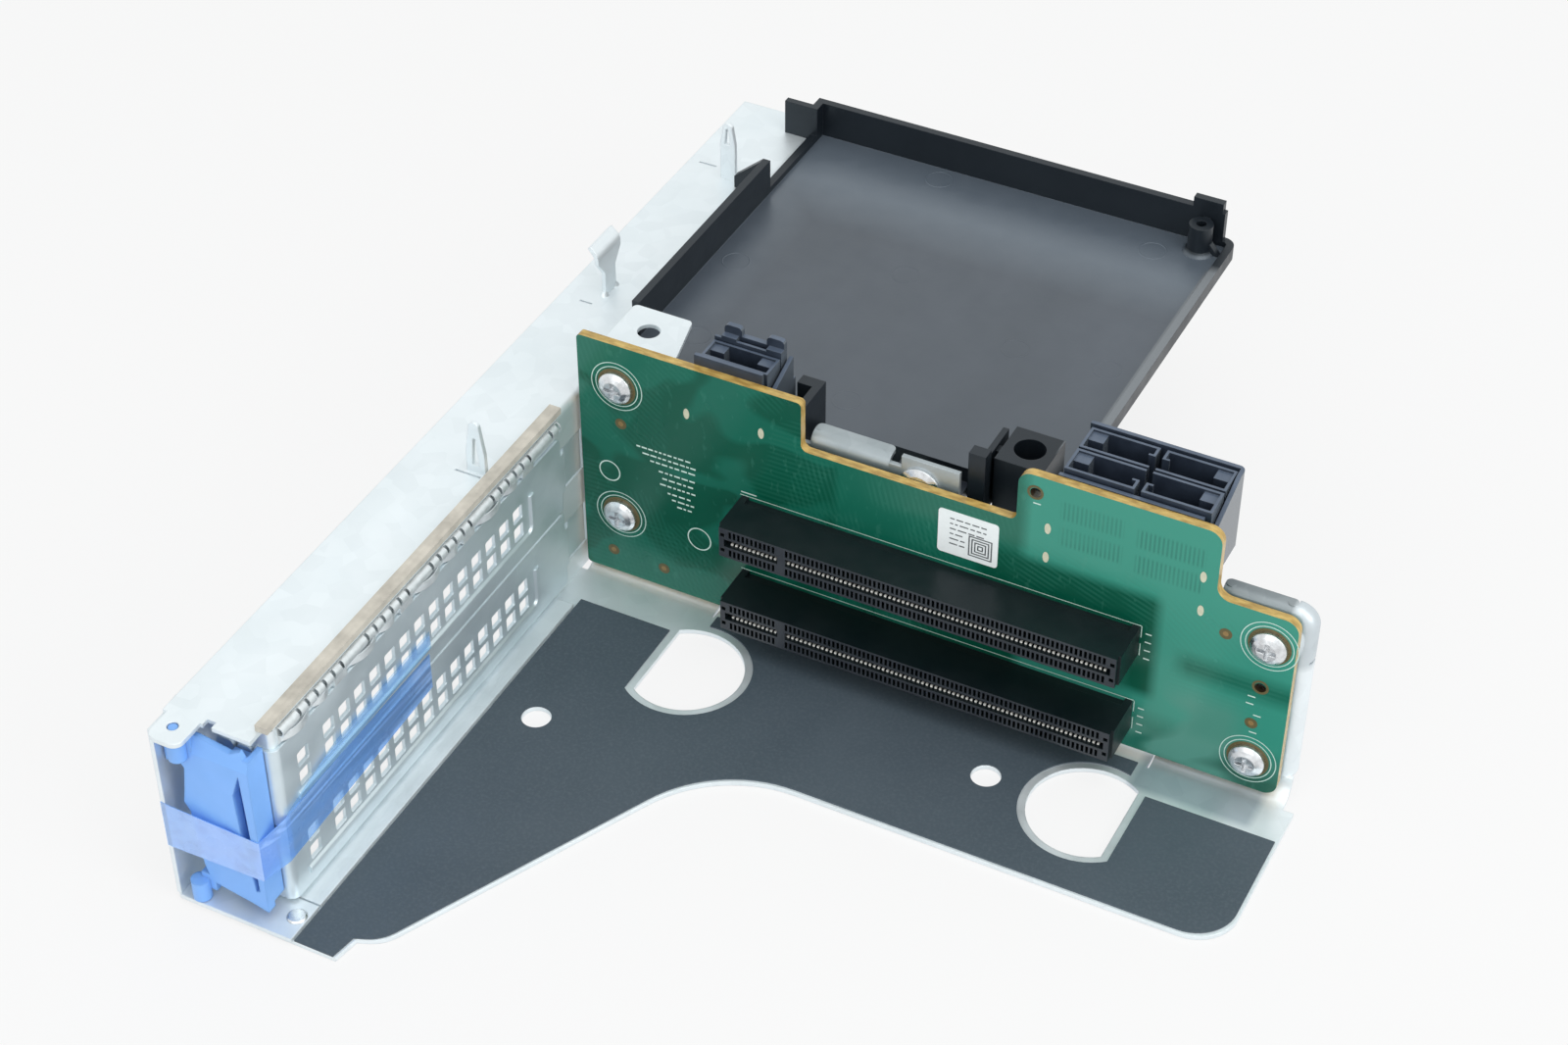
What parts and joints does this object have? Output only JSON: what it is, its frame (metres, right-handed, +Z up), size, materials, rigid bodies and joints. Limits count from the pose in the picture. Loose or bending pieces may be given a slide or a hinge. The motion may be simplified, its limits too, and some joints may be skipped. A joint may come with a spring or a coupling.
{
  "type": "riser cage bracket",
  "caption": "Folded steel riser cage with a riser board, card slots facing perforated slot fillers, a card latch, cable connectors and a shallow plastic tray.",
  "frame": {"origin": "under the middle of the whole cage's box, on the plane of the base plate's underside", "axes": "+X along the riser board from the slot fillers to its free end, +Y from the card bay back over the tray, +Z up from the base plate"},
  "size_m": [0.1866, 0.2412, 0.07],
  "materials": {
    "galvanised_sheet": "galvanised, satin",
    "black_film": "matt film",
    "filler_steel": "brushed",
    "spring_steel": "bright",
    "gasket_cloth": "woven foam gasket",
    "latch_plastic": "satin",
    "clear_tape": "translucent film",
    "zinc_fastener": "zinc plated",
    "board_laminate": "solder mask over glass laminate",
    "slot_plastic": "satin black",
    "contact_metal": "gold plated",
    "label_paper": "matt white",
    "connector_plastic": "satin",
    "tray_plastic": "satin black"
  },
  "bodies": {
    "root": {"base_plate": "galvanised_sheet", "io_frame": "galvanised_sheet", "insulating_film": "black_film", "filler_upper": "filler_steel", "filler_lower": "filler_steel", "emi_finger_strip": "spring_steel", "gasket_strip": "gasket_cloth", "latch": "latch_plastic", "latch_tape": "clear_tape", "frame_rivet": "zinc_fastener", "board_screws": "zinc_fastener", "tray_screw": "zinc_fastener", "circuit_board": "board_laminate", "slot_upper": "slot_plastic", "slot_lower": "slot_plastic", "contacts_upper": "contact_metal", "contacts_lower": "contact_metal", "board_label": "label_paper", "small_shroud": "connector_plastic", "small_port": "connector_plastic", "small_lock": "connector_plastic", "quad_shroud": "connector_plastic", "quad_port_1": "connector_plastic", "quad_port_2": "connector_plastic", "quad_port_3": "connector_plastic", "quad_port_4": "connector_plastic", "tray": "tray_plastic"}
  },
  "joints": []
}
